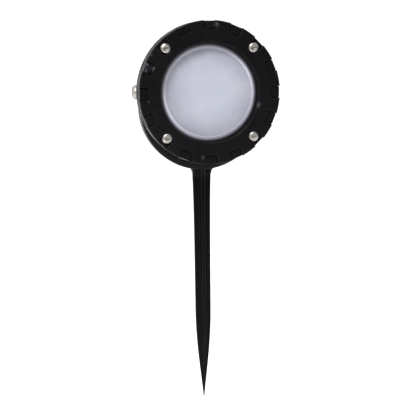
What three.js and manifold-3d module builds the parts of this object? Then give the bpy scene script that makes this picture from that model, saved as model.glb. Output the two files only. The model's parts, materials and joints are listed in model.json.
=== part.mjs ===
// Underwater pond light: a round lamp head that tilts between the arms of a fork,
// moulded in one with a cross-section ground spike.
// Millimetres, +Z up, lens towards -Y. The origin is on the spike's axis at the soil line.
import * as THREE from 'three';
import { mergeVertices } from 'three/addons/utils/BufferGeometryUtils.js';
import Module from 'manifold-3d';

const wasm = await Module();
wasm.setup();

// ---------------------------------------------------------------- driving dimensions
const gap = 0.3;                    // clearance between pieces that touch
const pivotHeight = 46;             // tilt axis above the soil line

// lamp head, depths along Y from the tilt axis
const headRadius = 38;
const faceY = -30;
const bezelDepth = 9;
const flangeDepth = 4.7;
const bezelBackY = faceY + bezelDepth;
const flangeFrontY = bezelBackY + gap;
const flangeBackY = flangeFrontY + flangeDepth;
const windowRadius = 26.1;          // clear opening where it meets the lens
const mouthRadius = 26.6;           // the opening at the front face
const lipDepth = 5.7;               // from the front face back to the lens seat
const lensRadius = 28.6;
const lensSeatRadius = lensRadius + 0.4;
const lensDepth = 3.2;
const lensStepRadius = 23.7;        // the raised middle of the lens
const lensStepHeight = 0.6;

// rim notches
const notchCount = 16;
const notchWidth = 6.5;
const notchDepth = 2.2;
const notchRootRadius = 33.1;
const notchFlatRadius = 37.7;       // flat left on the rim at each notch
const grooveWidth = 0.45;           // round the block that stands in each plain notch
const blockDrop = 0.8;              // the block's top below the front face
const screwEvery = 4;               // every fourth notch holds a screw
const screwCircleRadius = 33.15;
const screwNotchDepth = 2;

// housing behind the flange
const cupRadius = 28.5;
const cupWall = 2.8;
const cupBackY = 12;
const ledgeY = -6.9;                // the step that carries the heat plate
const ledgeRadius = 24;
const floorY = 9;
const postRadius = 3.5;
const postZ = 18;

// tilt pivot
const armOuterX = 34.8;
const armThickness = 4;
const armWidth = 10;
const armInnerX = armOuterX - armThickness;
const pivotBossRadius = 7;
const pivotBossX = 29.4;
const pivotInnerBossX = 20;
const pivotInnerBossRadius = 5;

// fork and spike
const bendDrop = 8.8;               // straight run of each arm below the tilt axis
const forkBottomZ = pivotHeight - bendDrop - armOuterX;
const spikeLength = 133;
const pointShare = 0.4;             // how much of the length the point takes
const tipShare = 0.07;              // how wide the blunt tip is against the shank
const spikeWidth = 10.5;
const ribDepth = 10.7;              // the ribs stand just proud of the fork, front and back
const ribRootThickness = 3.4;
const ribTipThickness = 2;

// cable gland
const glandHoleRadius = 6.3;
const glandBossRadius = 10;
const glandBossY = 15;
const glandHexAcross = 17;
const cableRadius = 3.2;

// screws with button heads and hexagon sockets, and the brass inserts that take them
const bezelScrew = { headRadius: 2.85, headHeight: 1.65, shankRadius: 1.5, shankLength: 12, socketAcross: 2 };
const pivotScrew = { headRadius: 4, headHeight: 2.3, shankRadius: 2, shankLength: 11.6, socketAcross: 2.5 };
const boardScrew = { headRadius: 2.6, headHeight: 1.4, shankRadius: 1.5, shankLength: 9, socketAcross: 2 };
const driverScrew = {
  headRadius: 2.2, headHeight: 1.3, shankRadius: 1.1, shankLength: 5.5, socketAcross: 1.5,
};
const m3HoleRadius = 1.8;           // clears a 3 mm screw
const m4HoleRadius = 2.4;           // clears a 4 mm screw
const pivotThreadRadius = 2.3;
const driverHoleRadius = 1.4;
const bezelInsertRadius = 2.5;
const pivotInsertRadius = 3;
const washerThickness = 0.8;

// ---------------------------------------------------------------- materials
const finishes = {
  blackPlastic: { color: 0x1b1b1d, roughness: 0.55, metalness: 0 },
  forkPlastic: { color: 0x1d1d1f, roughness: 0.6, metalness: 0 },
  frosted: { color: 0xcfd2e0, roughness: 0.5, metalness: 0 },
  stainless: { color: 0xb9b6b1, roughness: 0.3, metalness: 1 },
  brass: { color: 0xb08d45, roughness: 0.35, metalness: 1 },
  rubber: { color: 0x151515, roughness: 0.8, metalness: 0 },
  nylon: { color: 0xd8d6cc, roughness: 0.6, metalness: 0 },
  whitePlastic: { color: 0xeeeeec, roughness: 0.5, metalness: 0 },
  aluminium: { color: 0xa9abad, roughness: 0.45, metalness: 1 },
  boardWhite: { color: 0xe9ebe6, roughness: 0.5, metalness: 0 },
  boardGreen: { color: 0x1d5a34, roughness: 0.5, metalness: 0 },
  emitter: { color: 0xd9c24a, roughness: 0.4, metalness: 0 },
  capacitor: { color: 0x23242e, roughness: 0.4, metalness: 0 },
  ferrite: { color: 0x3a3a3c, roughness: 0.6, metalness: 0 },
  chip: { color: 0x111113, roughness: 0.5, metalness: 0 },
  redWire: { color: 0xa81f1c, roughness: 0.5, metalness: 0 },
  blackWire: { color: 0x141414, roughness: 0.5, metalness: 0 },
};
const materials = Object.fromEntries(
  Object.entries(finishes).map(([name, look]) => [name, new THREE.MeshStandardMaterial(look)]),
);

// ---------------------------------------------------------------- solids
// A closed geometry as a solid: shared vertices merged, slivers dropped, faces outward.
function solid(geometry) {
  const bare = geometry.index ? geometry.toNonIndexed() : geometry.clone();
  bare.deleteAttribute('normal');
  bare.deleteAttribute('uv');
  const merged = mergeVertices(bare, 1e-4);
  const points = merged.getAttribute('position').array;
  const corners = merged.index.array;
  const triangles = [];
  let volume = 0;
  for (let i = 0; i < corners.length; i += 3) {
    const [a, b, c] = [corners[i], corners[i + 1], corners[i + 2]];
    if (a === b || b === c || c === a) continue;
    const [p, q, r] = [a, b, c].map((v) => new THREE.Vector3().fromArray(points, 3 * v));
    volume += p.dot(q.cross(r));
    triangles.push([a, b, c]);
  }
  const outward = volume > 0 ? triangles : triangles.map(([a, b, c]) => [a, c, b]);
  return new wasm.Manifold(new wasm.Mesh({
    numProp: 3,
    vertProperties: new Float32Array(points),
    triVerts: new Uint32Array(outward.flat()),
  }));
}

const join = (...parts) => parts.reduce((whole, part) => whole.add(part));
const cut = (body, ...tools) => tools.reduce((whole, tool) => whole.subtract(tool), body);

// A solid turned about the lamp's axis, Y: the profile is a closed list of [radius, y].
function turned(profile, segments = 48) {
  const points = [...profile, profile[0]].map(([radius, y]) => new THREE.Vector2(radius, y));
  return solid(new THREE.LatheGeometry(points, segments));
}

// A plain rod or disc along an axis, from one place on it to another.
function rod(radius, from, to, segments = 24, axis = 'y') {
  const geometry = new THREE.CylinderGeometry(radius, radius, Math.abs(to - from), segments);
  geometry.translate(0, (from + to) / 2, 0);
  if (axis === 'x') geometry.rotateZ(-Math.PI / 2);
  return geometry;
}

function box(x, y, z) {
  const geometry = new THREE.BoxGeometry(x[1] - x[0], y[1] - y[0], z[1] - z[0]);
  return geometry.translate((x[0] + x[1]) / 2, (y[0] + y[1]) / 2, (z[0] + z[1]) / 2);
}

// A geometry laid out about the lamp's axis, moved to its place on a circle.
function onCircle(geometry, radius, angle) {
  return geometry.clone().translate(radius, 0, 0).rotateY(-angle);
}

// A hexagonal prism along Y, given across its flats.
function hexagon(across, from, to) {
  return rod(across / Math.sqrt(3), from, to, 6);
}

const notchAngles = Array.from({ length: notchCount }, (_, i) => (i * 2 * Math.PI) / notchCount);
const isScrewNotch = (i) => i % screwEvery === screwEvery / 2;
const screwAngles = notchAngles.filter((_, i) => isScrewNotch(i));

// ---------------------------------------------------------------- screws and washers
// A button-head screw with a hexagon socket, its head towards -Y and seated at seatY.
function buttonScrew(size, seatY) {
  const { headRadius: r, headHeight: h, shankRadius, shankLength, socketAcross } = size;
  const crown = seatY - h;
  const body = turned([
    [0, crown], [0.58 * r, crown + 0.07 * h], [0.88 * r, crown + 0.45 * h],
    [r, seatY - 0.12 * h], [r, seatY],
    [shankRadius, seatY], [shankRadius, seatY + shankLength], [0, seatY + shankLength],
  ], 16);
  return cut(body, solid(hexagon(socketAcross, crown - 1, crown + 0.62 * h)));
}

// A flat ring about the lamp's axis.
function ring(innerRadius, outerRadius, from, to, segments = 24) {
  return turned([[innerRadius, from], [outerRadius, from], [outerRadius, to], [innerRadius, to]], segments);
}

// A thread insert with a groove round its middle.
function insert(innerRadius, outerRadius, from, to) {
  const third = (to - from) / 3;
  return turned([
    [innerRadius, from], [outerRadius, from], [outerRadius, from + third],
    [outerRadius - 0.4, from + 1.25 * third], [outerRadius - 0.4, to - 1.25 * third],
    [outerRadius, to - third], [outerRadius, to], [innerRadius, to],
  ], 12);
}

// ---------------------------------------------------------------- lamp front
function makeBezel() {
  const edge = 0.8;
  const mouthEdge = 0.5;
  const body = turned([
    [mouthRadius + mouthEdge, faceY], [headRadius - edge, faceY],
    [headRadius - 0.3 * edge, faceY + 0.3 * edge], [headRadius, faceY + edge],
    [headRadius, bezelBackY], [lensSeatRadius, bezelBackY],
    [lensSeatRadius, faceY + lipDepth], [windowRadius, faceY + lipDepth],
    [mouthRadius, faceY + mouthEdge],
  ], 80);
  const half = notchWidth / 2;
  const outside = headRadius + 2;
  const rimFlat = box([notchFlatRadius, outside], [faceY - 1, bezelBackY + 1], [-half, half]);
  const pocket = box([notchRootRadius, outside], [faceY - 1, faceY + notchDepth], [-half, half]);
  const block = box(
    [notchRootRadius + grooveWidth, notchFlatRadius - 0.1], [faceY + blockDrop, faceY + notchDepth + 1],
    [grooveWidth - half, half - grooveWidth],
  );
  const channel = box([screwCircleRadius, outside], [faceY - 1, faceY + screwNotchDepth], [-half, half]);
  const recess = rod(half, faceY - 1, faceY + screwNotchDepth, 20);
  const hole = rod(m3HoleRadius, faceY, bezelBackY + 1, 12);
  return notchAngles.reduce((ringSoFar, angle, i) => {
    const flatted = cut(ringSoFar, solid(onCircle(rimFlat, 0, angle)));
    if (!isScrewNotch(i)) {
      return join(cut(flatted, solid(onCircle(pocket, 0, angle))), solid(onCircle(block, 0, angle)));
    }
    return cut(
      flatted,
      solid(onCircle(channel, 0, angle)),
      solid(onCircle(recess, screwCircleRadius, angle)),
      solid(onCircle(hole, screwCircleRadius, angle)),
    );
  }, body);
}

const lensFrontY = faceY + lipDepth + gap;
const lensBackY = lensFrontY + lensDepth;

function makeLens() {
  return turned([
    [0, lensFrontY - lensStepHeight], [lensStepRadius, lensFrontY - lensStepHeight],
    [lensStepRadius + lensStepHeight, lensFrontY], [lensRadius, lensFrontY],
    [lensRadius, lensBackY], [0, lensBackY],
  ], 48);
}

const gasketFrontY = lensBackY + gap;
const gasketBackY = gasketFrontY + 1.5;
const gasketSeatY = gasketBackY + gap;

// ---------------------------------------------------------------- housing
const cupInnerRadius = cupRadius - cupWall;
const screwBossRadius = 4.2;
const screwBossBackY = -13;
const insertBackY = -15;
const pivotHoleEndX = pivotInnerBossX + 3.5;
const postHoleDepth = 8;
const driverPostRadius = 2.6;

function makeHousing() {
  const shell = turned([
    [0, floorY], [ledgeRadius, floorY], [ledgeRadius, ledgeY], [cupInnerRadius, ledgeY],
    [cupInnerRadius, gasketSeatY], [lensSeatRadius, gasketSeatY],
    [lensSeatRadius, flangeFrontY], [headRadius, flangeFrontY],
    [headRadius, flangeBackY - 0.6], [headRadius - 0.6, flangeBackY],
    [cupRadius + 1.5, flangeBackY], [cupRadius, flangeBackY + 1.5],
    [cupRadius - 0.5, cupBackY - 3], [cupRadius - 1.4, cupBackY - 0.9],
    [cupRadius - 3.5, cupBackY], [glandBossRadius + 0.6, cupBackY],
    [glandBossRadius, glandBossY], [0, glandBossY],
  ], 56);
  const screwBosses = screwAngles.map((angle) =>
    solid(onCircle(rod(screwBossRadius, flangeBackY - 1, screwBossBackY, 14), screwCircleRadius, angle)));
  const insertHole = rod(bezelInsertRadius + gap, flangeFrontY - 1, insertBackY + gap, 12);
  const insertHoles = screwAngles.map((angle) => solid(onCircle(insertHole, screwCircleRadius, angle)));
  const pivotParts = [-1, 1].map((side) => ({
    outer: solid(rod(pivotBossRadius, side * (cupInnerRadius - 1), side * pivotBossX, 24, 'x')),
    inner: solid(rod(pivotInnerBossRadius, side * pivotInnerBossX, side * (ledgeRadius + 1), 16, 'x')),
    hole: solid(rod(pivotInsertRadius + gap, side * pivotHoleEndX, side * (pivotBossX + 1), 14, 'x')),
  }));
  const posts = [-1, 1].map((side) =>
    solid(rod(postRadius, ledgeY, floorY + 1, 14).translate(0, 0, side * postZ)));
  const postHoles = [-1, 1].map((side) =>
    solid(rod(m3HoleRadius, ledgeY - 1, ledgeY + postHoleDepth, 10).translate(0, 0, side * postZ)));
  const driverPosts = [-1, 1].map((side) =>
    solid(rod(driverPostRadius, driverBackY + gap, floorY + 1, 12).translate(side * driverScrewX, 0, 0)));
  const driverHoles = [-1, 1].map((side) =>
    solid(rod(driverHoleRadius, driverBackY - 1, floorY, 10).translate(side * driverScrewX, 0, 0)));
  const filled = join(
    shell, ...screwBosses, ...posts, ...driverPosts,
    ...pivotParts.map((p) => p.outer), ...pivotParts.map((p) => p.inner),
  );
  return cut(
    filled, ...insertHoles, ...postHoles, ...driverHoles, ...pivotParts.map((p) => p.hole),
    solid(rod(glandHoleRadius, floorY - 1, glandBossY + 1, 24)),
  );
}

// ---------------------------------------------------------------- light engine
const plateThickness = 3;
const plateBackY = ledgeY - gap;
const plateFrontY = plateBackY - plateThickness;
const boardThickness = 1.6;
const boardBackY = plateFrontY - gap;
const boardFrontY = boardBackY - boardThickness;
const boardRadius = 22.5;
const leadRadius = 0.8;
const leadHole = { x: 4, z: 11, radius: 1.6 };

function withScrewHoles(disc) {
  const holes = [-1, 1].map((side) =>
    solid(rod(m3HoleRadius, boardFrontY - 1, plateBackY + 1, 10).translate(0, 0, side * postZ)));
  return cut(disc, ...holes);
}

function makeHeatPlate() {
  const disc = solid(rod(cupInnerRadius - 0.4, plateFrontY, plateBackY, 32));
  const leadHoles = [-1, 1].map((side) => {
    const hole = rod(leadHole.radius, plateFrontY - 1, plateBackY + 1, 10);
    return solid(hole.translate(side * leadHole.x, 0, leadHole.z));
  });
  return cut(withScrewHoles(disc), ...leadHoles);
}

function makeLedBoard() {
  return withScrewHoles(solid(rod(boardRadius, boardFrontY, boardBackY, 32)));
}

// The emitter's square base carries a round dome.
function makeEmitter() {
  const back = boardFrontY - gap;
  const half = 3.5;
  const domeRadius = 2.6;
  const base = solid(box([-half, half], [back - 1, back], [-half, half]));
  const dome = turned([
    [0, back - 0.5], [domeRadius, back - 0.5], [domeRadius, back - 1.2], [2.1, back - 2.4],
    [1.2, back - 3.1], [0, back - 3.3],
  ], 16);
  return join(base, dome);
}

function makeReflector() {
  const wall = 1.2;
  const front = gasketFrontY;
  const back = boardFrontY - gap;
  const mouth = 24.4;
  const throat = 6.2;
  return turned([
    [throat, back], [throat + wall, back], [throat + wall + 0.3, back - 1.5],
    [mouth + 0.4, front + 1.6], [mouth + 0.4, front], [mouth - 0.8, front], [throat, back - 1.8],
  ], 32);
}

// ---------------------------------------------------------------- driver
const driverFrontY = 2;
const driverBackY = driverFrontY + boardThickness;
const driverHalfWidth = 17;
const driverHalfHeight = 12;
const driverScrewX = 13;
const partsY = driverFrontY - gap;

function makeDriverBoard() {
  const plate = solid(box(
    [-driverHalfWidth, driverHalfWidth], [driverFrontY, driverBackY], [-driverHalfHeight, driverHalfHeight],
  ));
  const holes = [-1, 1].map((side) =>
    solid(rod(driverHoleRadius, driverFrontY - 1, driverBackY + 1, 10).translate(side * driverScrewX, 0, 0)));
  return cut(plate, ...holes);
}

// A can with a crimped groove near its foot.
function makeCapacitor() {
  const radius = 3.15;
  const top = partsY - 7.6;
  return turned([
    [0, partsY], [radius, partsY], [radius, partsY - 1], [radius - 0.2, partsY - 1.4],
    [radius, partsY - 1.8], [radius, top + 0.4], [radius - 0.25, top], [0, top],
  ], 14);
}

// A drum with a flange at each end of its winding.
function makeInductor() {
  const radius = 4.5;
  const core = 3.7;
  const flange = 1;
  const top = partsY - 5.4;
  return turned([
    [0, partsY], [radius, partsY], [radius, partsY - flange], [core, partsY - flange - 0.2],
    [core, top + flange + 0.2], [radius, top + flange], [radius, top], [0, top],
  ], 16);
}

function makeChip() {
  const width = 4.5;
  const height = 5;
  const thickness = 1.5;
  return solid(box([-width / 2, width / 2], [partsY - thickness, partsY], [-height / 2, height / 2]));
}

// A wire from the driver's front up into its hole in the heat plate.
function makeLead(side) {
  const straight = 2.5;
  const foot = { x: 3, z: 9.5 };
  const path = new THREE.CatmullRomCurve3([
    new THREE.Vector3(side * foot.x, partsY, foot.z),
    new THREE.Vector3(side * foot.x, partsY - straight, foot.z),
    new THREE.Vector3(side * leadHole.x, plateBackY + straight, leadHole.z),
    new THREE.Vector3(side * leadHole.x, plateFrontY, leadHole.z),
  ]);
  const section = new THREE.Shape().absarc(0, 0, leadRadius, 0, 2 * Math.PI);
  return solid(new THREE.ExtrudeGeometry(section, { steps: 10, curveSegments: 3, extrudePath: path }));
}

// ---------------------------------------------------------------- cable gland
const glandSealFrontY = glandBossY + gap;
const glandSealBackY = glandSealFrontY + 1;
const glandSealRadius = 8;
const glandHexFrontY = glandSealBackY + gap;
const glandHexBackY = glandHexFrontY + 3.6;
const glandNutFrontY = glandHexBackY + gap;
const glandNutBackY = 31;
const glandTubeRadius = glandHoleRadius - gap;
const glandBoreRadius = 4;
const bushRadius = 4.7;
const bushSeatRadius = bushRadius + gap;
const bushSeatY = glandNutFrontY + 2;
const bushLength = 6.2;

function makeGlandBody() {
  const stubFrontY = 6.2;
  const tubeBackY = glandNutFrontY + 6;
  const tube = solid(rod(glandTubeRadius, stubFrontY, tubeBackY, 24));
  const flange = solid(hexagon(glandHexAcross, glandHexFrontY, glandHexBackY));
  const bore = rod(glandBoreRadius, stubFrontY - 1, tubeBackY + 1, 20);
  const bushSeat = rod(bushSeatRadius, bushSeatY, tubeBackY + 1, 20);
  return cut(join(tube, flange), solid(bore), solid(bushSeat));
}

function makeGlandBush() {
  const from = bushSeatY + gap;
  const to = from + bushLength;
  return turned([
    [cableRadius, from], [bushRadius, from], [bushRadius, to - 1.2], [bushRadius - 0.9, to],
    [cableRadius, to],
  ], 20);
}

// Hexagonal where the spanner goes, then a domed nose with the cable's mouth.
function makeGlandNut() {
  const across = glandHexAcross / Math.sqrt(3);
  const hexEndY = glandNutFrontY + 5;
  const outline = turned([
    [0, glandNutFrontY], [across, glandNutFrontY], [across, hexEndY], [8.4, hexEndY + 0.6],
    [7.9, glandNutBackY - 2.6], [6.6, glandNutBackY - 0.7], [5.2, glandNutBackY], [0, glandNutBackY],
  ], 36);
  const prism = solid(hexagon(glandHexAcross, glandNutFrontY - 1, glandNutBackY + 1));
  const threadEndY = glandNutFrontY + 6.4;
  const cavity = turned([
    [0, glandNutFrontY - 1], [glandHoleRadius, glandNutFrontY - 1],
    [glandHoleRadius, threadEndY], [bushSeatRadius, threadEndY],
    [bushSeatRadius, threadEndY + 1.2], [glandBoreRadius, threadEndY + 2.7],
    [glandBoreRadius, glandNutBackY + 1], [0, glandNutBackY + 1],
  ], 20);
  return cut(outline.intersect(prism), cavity);
}

// ---------------------------------------------------------------- fork and spike
// The fork is a U-shaped strap in the XZ plane, with rounded arm tops.
function forkOutline() {
  const shape = new THREE.Shape();
  const bendZ = pivotHeight - bendDrop;
  const topZ = pivotHeight + armWidth / 2;
  shape.moveTo(-armOuterX, topZ);
  shape.lineTo(-armOuterX, bendZ);
  shape.absarc(0, bendZ, armOuterX, Math.PI, 2 * Math.PI, false);
  shape.lineTo(armOuterX, topZ);
  shape.lineTo(armInnerX, topZ);
  shape.lineTo(armInnerX, bendZ);
  shape.absarc(0, bendZ, armInnerX, 2 * Math.PI, Math.PI, true);
  shape.lineTo(-armInnerX, topZ);
  shape.closePath();
  return shape;
}

function makeStrap() {
  const strap = new THREE.ExtrudeGeometry(forkOutline(), {
    depth: armWidth, steps: 1, curveSegments: 28, bevelEnabled: false,
  });
  strap.rotateX(Math.PI / 2).translate(0, armWidth / 2, 0);
  // the side view of both arms: straight sides and a round top about the pivot
  const side = new THREE.Shape();
  const half = armWidth / 2;
  side.moveTo(-half, -10);
  side.lineTo(half, -10);
  side.lineTo(half, pivotHeight);
  side.absarc(0, pivotHeight, half, 0, Math.PI, false);
  side.closePath();
  const envelope = new THREE.ExtrudeGeometry(side, {
    depth: 2 * armOuterX + 2, steps: 1, curveSegments: 10, bevelEnabled: false,
  });
  envelope.rotateX(Math.PI / 2).rotateZ(Math.PI / 2).translate(-armOuterX - 1, 0, 0);
  const pivotHole = rod(m4HoleRadius, -armOuterX - 1, armOuterX + 1, 20, 'x').translate(0, 0, pivotHeight);
  return cut(solid(strap).intersect(solid(envelope)), solid(pivotHole));
}

// One quarter of the cross, from the tip of a rib round its root to the tip of the next,
// turned four times: the ribs taper outwards and their roots and tips are rounded.
function spikeSection() {
  const tip = spikeWidth / 2;
  const root = ribRootThickness / 2;
  const end = ribTipThickness / 2;
  const tipRound = 0.35;
  const rootRound = 0.9;
  const quarter = [
    [tip, end - tipRound], [tip - tipRound, end], [root + rootRound, root], [root, root + rootRound],
    [end, tip - tipRound], [end - tipRound, tip],
  ];
  const centre = new THREE.Vector2();
  const corners = [0, 1, 2, 3].flatMap((turn) =>
    quarter.map(([x, y]) => new THREE.Vector2(x, y).rotateAround(centre, (turn * Math.PI) / 2)));
  return new THREE.Shape(corners);
}

// How wide the spike is at a height, as a share of its width at the soil line: a slight
// taper down the shank, and a long rounded point with a blunt tip.
function spikeTaper(z) {
  const depth = -z / spikeLength;
  if (depth <= 0) return 1;
  const shank = 1 - 0.11 * (1 - Math.exp(-depth * 9)) - 0.07 * depth;
  const point = Math.min(1, Math.max(0, (1 - depth) / pointShare));
  const rounding = Math.sin((point * Math.PI) / 2) ** 1.1;
  return shank * (tipShare + (1 - tipShare) * rounding);
}

function makeSpike() {
  const top = forkBottomZ + armThickness - 0.6;
  const geometry = new THREE.ExtrudeGeometry(spikeSection(), {
    depth: spikeLength + top, steps: 22, curveSegments: 1, bevelEnabled: false,
  });
  geometry.translate(0, 0, -spikeLength);
  const position = geometry.getAttribute('position');
  for (let i = 0; i < position.count; i += 1) {
    const scale = spikeTaper(position.getZ(i));
    const wide = (scale * ribDepth) / spikeWidth;
    position.setXY(i, position.getX(i) * scale, position.getY(i) * wide);
  }
  return solid(geometry);
}

// The webs that round the corner between the spike's side ribs and the fork's underside.
function makeFillets() {
  const reach = 3.2;
  const drop = 2.6;
  const overlap = 1.6;
  const half = ribRootThickness / 2 + 0.9;
  const ribX = spikeWidth / 2;
  const underside = (x) => pivotHeight - bendDrop - Math.sqrt(armOuterX ** 2 - x ** 2);
  return [-1, 1].map((side) => {
    const web = new THREE.Shape();
    web.moveTo(side * (ribX - overlap), forkBottomZ + overlap);
    web.lineTo(side * (ribX - overlap), forkBottomZ - drop);
    web.lineTo(side * ribX, forkBottomZ - drop);
    web.quadraticCurveTo(side * ribX, underside(ribX), side * (ribX + reach), underside(ribX + reach));
    web.lineTo(side * (ribX + reach), forkBottomZ + overlap);
    web.closePath();
    const geometry = new THREE.ExtrudeGeometry(web, {
      depth: 2 * half, steps: 1, curveSegments: 6, bevelEnabled: false,
    });
    return solid(geometry.rotateX(Math.PI / 2).translate(0, half, 0));
  });
}

function makeForkStake() {
  return join(makeStrap(), makeSpike(), ...makeFillets());
}

// ---------------------------------------------------------------- assembly
function meshOf(name, body, material) {
  const { vertProperties, triVerts } = body.getMesh();
  const geometry = new THREE.BufferGeometry();
  geometry.setAttribute('position', new THREE.BufferAttribute(vertProperties, 3));
  geometry.setIndex(new THREE.BufferAttribute(triVerts, 1));
  geometry.computeVertexNormals();
  const mesh = new THREE.Mesh(geometry, material);
  mesh.name = name;
  return mesh;
}

const light = new THREE.Group();
const head = new THREE.Group();
head.position.z = pivotHeight;
light.add(head);
light.add(meshOf('fork_stake', makeForkStake(), materials.forkPlastic));

const add = (name, body, material) => {
  const mesh = meshOf(name, body, material);
  head.add(mesh);
  return mesh;
};

add('bezel_ring', makeBezel(), materials.blackPlastic);
add('lens', makeLens(), materials.frosted);
const gasket = ring(cupInnerRadius + gap, lensSeatRadius - gap, gasketFrontY, gasketBackY, 48);
add('lens_gasket', gasket, materials.rubber);
add('housing', makeHousing(), materials.blackPlastic);

screwAngles.forEach((angle, i) => {
  const place = [screwCircleRadius * Math.cos(angle), 0, screwCircleRadius * Math.sin(angle)];
  const screw = buttonScrew(bezelScrew, faceY + screwNotchDepth - gap);
  add(`bezel_screw_${i + 1}`, screw, materials.stainless).position.set(...place);
  const thread = insert(m3HoleRadius, bezelInsertRadius, flangeFrontY + gap, insertBackY);
  add(`bezel_insert_${i + 1}`, thread, materials.brass).position.set(...place);
});

// Pivot parts are turned about Y and then laid over, so that -Y points outwards.
[['left', -1], ['right', 1]].forEach(([sideName, side]) => {
  const layOver = (mesh) => mesh.rotation.set(0, 0, (side * Math.PI) / 2);
  const washerInnerX = armOuterX + gap;
  const washerOuterX = washerInnerX + washerThickness;
  const screw = buttonScrew(pivotScrew, -(washerOuterX + gap));
  const washer = ring(pivotThreadRadius, 4.4, -washerOuterX, -washerInnerX);
  const frictionWasher = ring(pivotThreadRadius, 6.4, -(armInnerX - gap), -(pivotBossX + gap));
  const thread = insert(pivotThreadRadius, pivotInsertRadius, -(pivotBossX - gap), -(pivotHoleEndX + gap));
  layOver(add(`pivot_screw_${sideName}`, screw, materials.stainless));
  layOver(add(`pivot_washer_${sideName}`, washer, materials.stainless));
  layOver(add(`friction_washer_${sideName}`, frictionWasher, materials.nylon));
  layOver(add(`pivot_insert_${sideName}`, thread, materials.brass));
});

add('reflector', makeReflector(), materials.whitePlastic);
add('led_emitter', makeEmitter(), materials.emitter);
add('led_board', makeLedBoard(), materials.boardWhite);
add('heat_plate', makeHeatPlate(), materials.aluminium);
[-1, 1].forEach((side, i) => {
  const upper = buttonScrew(boardScrew, boardFrontY - gap);
  add(`board_screw_${i + 1}`, upper, materials.stainless).position.set(0, 0, side * postZ);
  const lower = buttonScrew(driverScrew, driverFrontY - gap);
  add(`driver_screw_${i + 1}`, lower, materials.stainless).position.set(side * driverScrewX, 0, 0);
});

add('driver_board', makeDriverBoard(), materials.boardGreen);
add('driver_capacitor', makeCapacitor(), materials.capacitor).position.set(-6, 0, 5);
add('driver_inductor', makeInductor(), materials.ferrite).position.set(5, 0, -5.5);
add('driver_chip', makeChip(), materials.chip).position.set(-5.75, 0, -5.5);
add('lead_red', makeLead(1), materials.redWire);
add('lead_black', makeLead(-1), materials.blackWire);

add('gland_body', makeGlandBody(), materials.blackPlastic);
add('gland_seal', ring(glandHoleRadius, glandSealRadius, glandSealFrontY, glandSealBackY), materials.rubber);
add('gland_bush', makeGlandBush(), materials.rubber);
add('gland_nut', makeGlandNut(), materials.blackPlastic);

export default light;
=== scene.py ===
"""Underwater pond light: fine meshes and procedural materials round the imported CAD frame."""

import json
import math

import bmesh
import bpy
from mathutils import Matrix, Vector


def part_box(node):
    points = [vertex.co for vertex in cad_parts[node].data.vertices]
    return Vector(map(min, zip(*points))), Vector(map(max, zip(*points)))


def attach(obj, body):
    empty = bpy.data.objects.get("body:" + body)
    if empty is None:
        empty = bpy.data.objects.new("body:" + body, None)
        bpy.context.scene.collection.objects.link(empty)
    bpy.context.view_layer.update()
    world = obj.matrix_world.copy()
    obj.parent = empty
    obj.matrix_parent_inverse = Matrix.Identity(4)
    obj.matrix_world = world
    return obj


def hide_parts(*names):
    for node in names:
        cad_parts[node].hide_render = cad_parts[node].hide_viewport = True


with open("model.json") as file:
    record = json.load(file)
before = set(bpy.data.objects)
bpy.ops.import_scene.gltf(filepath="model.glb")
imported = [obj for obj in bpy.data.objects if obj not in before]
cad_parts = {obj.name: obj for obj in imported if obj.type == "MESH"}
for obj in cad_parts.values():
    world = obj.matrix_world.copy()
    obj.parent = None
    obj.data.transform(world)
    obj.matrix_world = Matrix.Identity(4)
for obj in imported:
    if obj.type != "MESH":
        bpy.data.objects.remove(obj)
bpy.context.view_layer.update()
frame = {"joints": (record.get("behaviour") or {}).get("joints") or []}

# ---------------------------------------------------------------- sizes, in millimetres
# The head's own coordinates: the origin is the middle of the tilt axis, the lens towards -Y.
MM = 0.001
PIVOT_Z = frame["joints"][0]["pos_m"][2] / MM


def span(node, axis):
    """The lowest and highest coordinate of a CAD node along an axis, in millimetres, from the tilt axis."""
    low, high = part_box(node)
    index = "xyz".index(axis)
    shift = PIVOT_Z if axis == "z" else 0
    return low[index] / MM - shift, high[index] / MM - shift


FACE_Y, BEZEL_BACK_Y = span("bezel_ring", "y")
HEAD_RADIUS = span("housing", "x")[1]
FLANGE_FRONT_Y = span("housing", "y")[0]
GLAND_BOSS_Y = span("housing", "y")[1]
LENS_FRONT_Y, LENS_BACK_Y = span("lens", "y")
LENS_RADIUS = span("lens", "x")[1]
LENS_SEAT = LENS_RADIUS + 0.4
GASKET_BACK_Y = span("lens_gasket", "y")[1]
ARM_OUTER_X = span("fork_stake", "x")[1]
STRAP_HALF_WIDTH = 5
SPIKE_LENGTH = -(span("fork_stake", "z")[0] + PIVOT_Z)
GAP = 0.3
SIDES = (-1, 1)
ON_AXIS = 1e-6
SHARP_ANGLE = math.radians(35)

MOUTH_RADIUS = 26.6
WINDOW_RADIUS = 26.1
LENS_STEP = 0.6
LENS_STEP_RADIUS = 23.7
LIP_Y = LENS_FRONT_Y + LENS_STEP - GAP

NOTCH_COUNT = 16
NOTCH_HALF = 3.25
NOTCH_DEPTH = 2.2
NOTCH_ROOT = 33.1
NOTCH_FLAT = 37.7
GROOVE_WIDTH = 0.45
BLOCK_DROP = 0.8
SCREW_CIRCLE = 33.15
SCREW_NOTCH_DEPTH = 2
SCREW_HOLE = 1.8

CUP_RADIUS = 28.5
CUP_WALL = 2.8
CUP_BACK_Y = 12
FLANGE_DEPTH = 4.7
LEDGE_Y = -6.9
LEDGE_RADIUS = 24
FLOOR_Y = 9
POST_Z = 18
DRIVER_SCREW_X = 13
DRIVER_BACK_Y = span("driver_board", "y")[1]

ARM_THICKNESS = 4
BEND_DROP = 8.8
PIVOT_BOSS_RADIUS = 7
PIVOT_BOSS_X = 29.4
PIVOT_INNER_X = 20

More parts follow.
